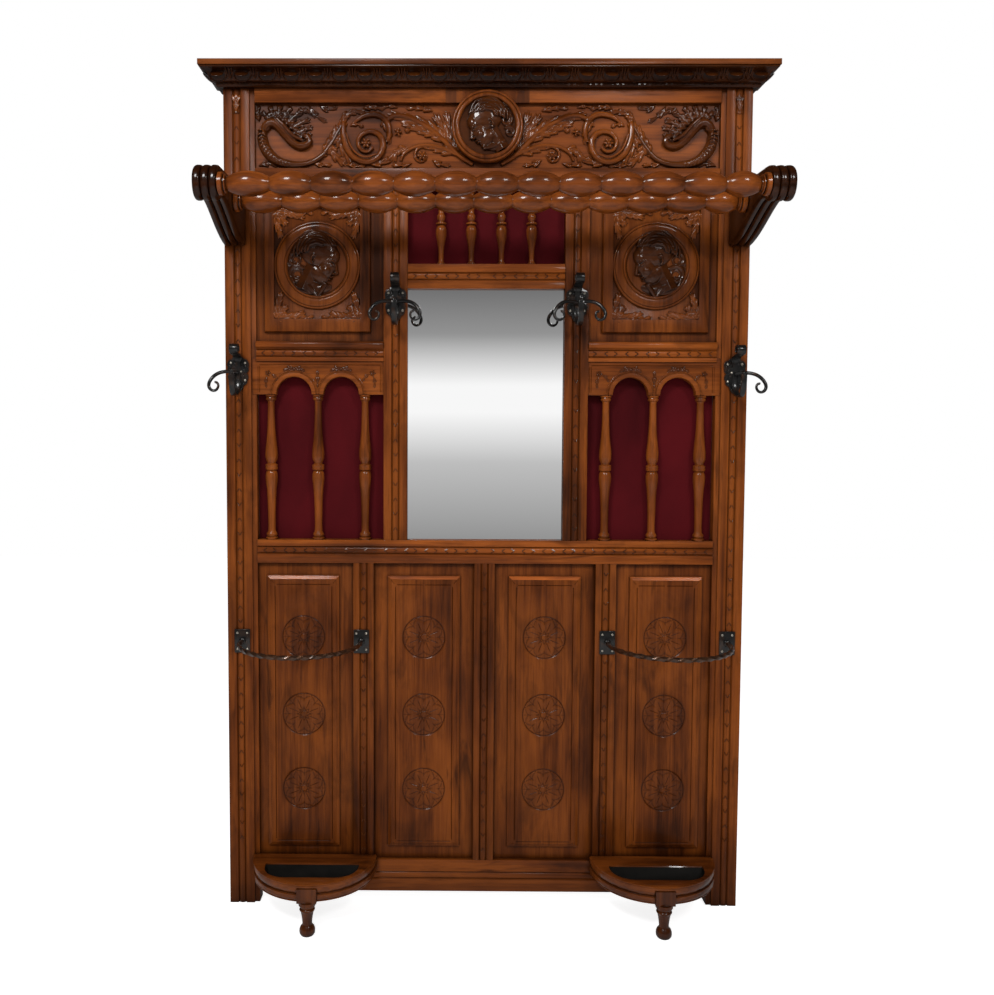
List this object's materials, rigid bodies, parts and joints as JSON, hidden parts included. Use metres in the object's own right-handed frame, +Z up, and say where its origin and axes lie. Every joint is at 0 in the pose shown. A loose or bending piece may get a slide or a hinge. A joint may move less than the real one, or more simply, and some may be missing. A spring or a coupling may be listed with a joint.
{
  "type": "hall tree",
  "caption": "Tall carved wooden hall tree with a mirror, velvet behind spindles, a hat rack, forged coat hooks and umbrella stands.",
  "frame": {"origin": "middle of the bounding box, on the floor", "axes": "+Z up, -Y towards the room (the front), +X to the right as seen from the front"},
  "size_m": [1.362, 0.3346, 2.05],
  "materials": {
    "waxed_wood": "waxed, satin",
    "dark_wood": "dark stained, waxed",
    "velvet": "pile",
    "mirror": "polished",
    "plain_board": "raw",
    "iron": "forged, blackened",
    "pan_metal": "dark"
  },
  "bodies": {
    "base": {"left_post": "waxed_wood", "left_mirror_stile": "waxed_wood", "left_medallion_panel": "waxed_wood", "left_bead_rail": "waxed_wood", "left_arcade": "waxed_wood", "left_spindle_1": "waxed_wood", "left_spindle_2": "waxed_wood", "left_spindle_3": "waxed_wood", "right_post": "waxed_wood", "right_mirror_stile": "waxed_wood", "right_medallion_panel": "waxed_wood", "right_bead_rail": "waxed_wood", "right_arcade": "waxed_wood", "right_spindle_1": "waxed_wood", "right_spindle_2": "waxed_wood", "right_spindle_3": "waxed_wood", "mid_rail": "waxed_wood", "bottom_rail": "waxed_wood", "mirror_rail": "waxed_wood", "frieze_rail": "waxed_wood", "frieze_panel": "waxed_wood", "top_rail": "waxed_wood", "left_muntin": "waxed_wood", "centre_muntin": "waxed_wood", "right_muntin": "waxed_wood", "lower_panel_1": "waxed_wood", "lower_panel_2": "waxed_wood", "lower_panel_3": "waxed_wood", "lower_panel_4": "waxed_wood", "gallery_spindle_1": "waxed_wood", "gallery_spindle_2": "waxed_wood", "gallery_spindle_3": "waxed_wood", "gallery_spindle_4": "waxed_wood", "left_velvet_panel": "velvet", "right_velvet_panel": "velvet", "top_velvet_panel": "velvet", "mirror_glass": "mirror", "mirror_back": "plain_board", "cornice_board": "waxed_wood", "cornice_front": "dark_wood", "cornice_left_return": "dark_wood", "cornice_right_return": "dark_wood", "left_bracket": "dark_wood", "right_bracket": "dark_wood", "front_rod": "waxed_wood", "rear_rod": "waxed_wood", "left_outer_hook": "iron", "left_inner_hook": "iron", "right_inner_hook": "iron", "right_outer_hook": "iron", "left_umbrella_bar": "iron", "right_umbrella_bar": "iron", "left_tray": "waxed_wood", "left_foot": "waxed_wood", "right_tray": "waxed_wood", "right_foot": "waxed_wood"},
    "left_drip_pan": {"left_drip_pan": "pan_metal"},
    "right_drip_pan": {"right_drip_pan": "pan_metal"}
  },
  "joints": [
    {"name": "left_pan_lift", "type": "slide", "parent": "base", "child": "left_drip_pan", "axis": [0, 0, 1], "range_m": [0, 0.06]},
    {"name": "right_pan_lift", "type": "slide", "parent": "base", "child": "right_drip_pan", "axis": [0, 0, 1], "range_m": [0, 0.06]}
  ]
}
